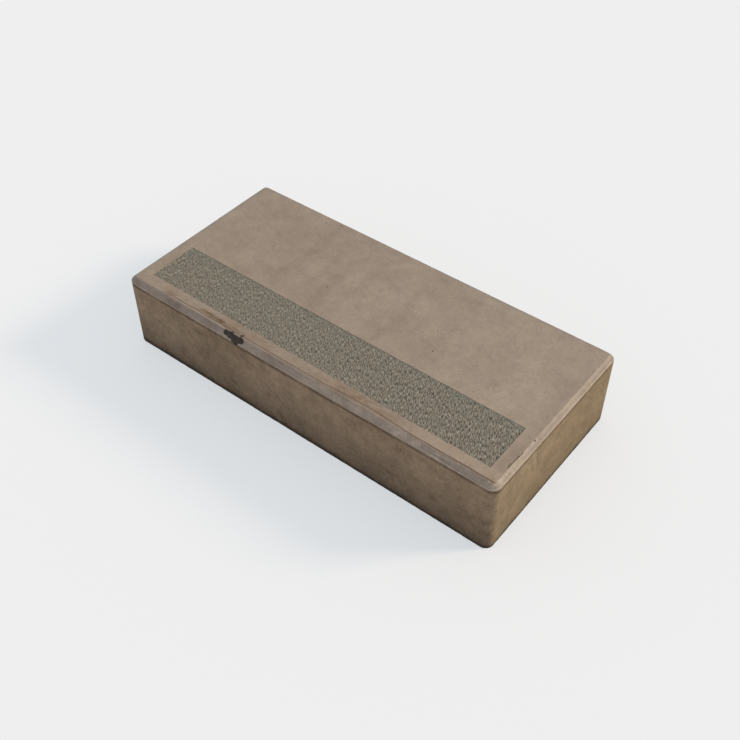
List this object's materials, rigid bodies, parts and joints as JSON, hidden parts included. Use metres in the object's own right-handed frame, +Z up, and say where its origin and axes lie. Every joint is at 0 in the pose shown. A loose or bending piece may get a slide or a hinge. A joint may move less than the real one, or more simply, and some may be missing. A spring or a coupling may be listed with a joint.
{
  "type": "concrete block step",
  "caption": "Solid precast concrete garden step: a low rectangular block with a chamfered tread and a sunk pebbled anti-slip strip along its front.",
  "frame": {"origin": "Centre of the underside, on the level bed that the step stands on.", "axes": "+X along the step's length, to the right of somebody who faces its front; +Y from the front face, which has the strip behind it, to the back face; +Z up, out of the tread."},
  "size_m": [0.75, 0.35, 0.145],
  "materials": {
    "cast_concrete": "matte as-cast concrete"
  },
  "bodies": {
    "root": {"block_step": "cast_concrete"}
  },
  "joints": []
}
